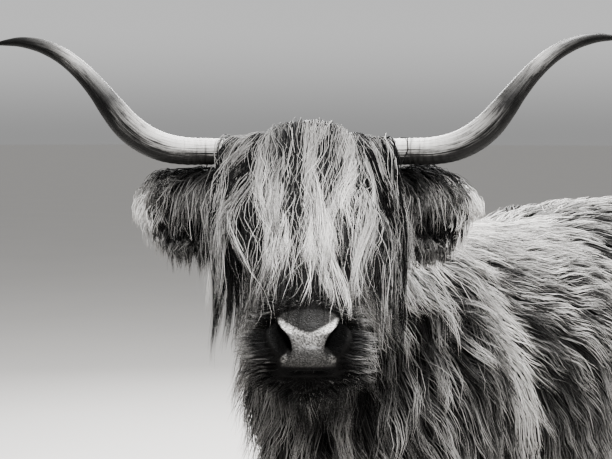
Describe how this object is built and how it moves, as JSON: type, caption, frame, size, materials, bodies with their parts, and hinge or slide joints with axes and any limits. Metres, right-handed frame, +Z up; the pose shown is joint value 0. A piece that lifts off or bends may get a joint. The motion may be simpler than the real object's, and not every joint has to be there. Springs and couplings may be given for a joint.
{
  "type": "highland cow",
  "caption": "Life-size standing highland cow with wide upswept horns, long forelock, shaggy hanging coat and head turned to its left",
  "frame": {"origin": "middle of the bounding box's underside, on the floor between the four feet", "axes": "+Z up, -Y is the way the body faces, +X is the cow's left side"},
  "size_m": [0.9583, 2.1678, 1.4842],
  "materials": {
    "coat": "long wavy silver-grey hair",
    "horn": "ringed pale keratin with dark tips",
    "hoof": "dark satin keratin",
    "eye": "wet and glossy"
  },
  "bodies": {
    "root": {"torso": "coat", "neck": "coat", "head": "coat", "tail": "coat", "tail_switch": "coat", "ear_left": "coat", "ear_right": "coat", "foreleg_upper_left": "coat", "foreleg_upper_right": "coat", "foreleg_lower_left": "coat", "foreleg_lower_right": "coat", "hindleg_upper_left": "coat", "hindleg_upper_right": "coat", "hindleg_lower_left": "coat", "hindleg_lower_right": "coat", "horn_left": "horn", "horn_right": "horn", "claw_fore_left_outer": "hoof", "claw_fore_left_inner": "hoof", "claw_fore_right_outer": "hoof", "claw_fore_right_inner": "hoof", "claw_hind_left_outer": "hoof", "claw_hind_left_inner": "hoof", "claw_hind_right_outer": "hoof", "claw_hind_right_inner": "hoof", "eye_left": "eye", "eye_right": "eye"}
  },
  "joints": []
}
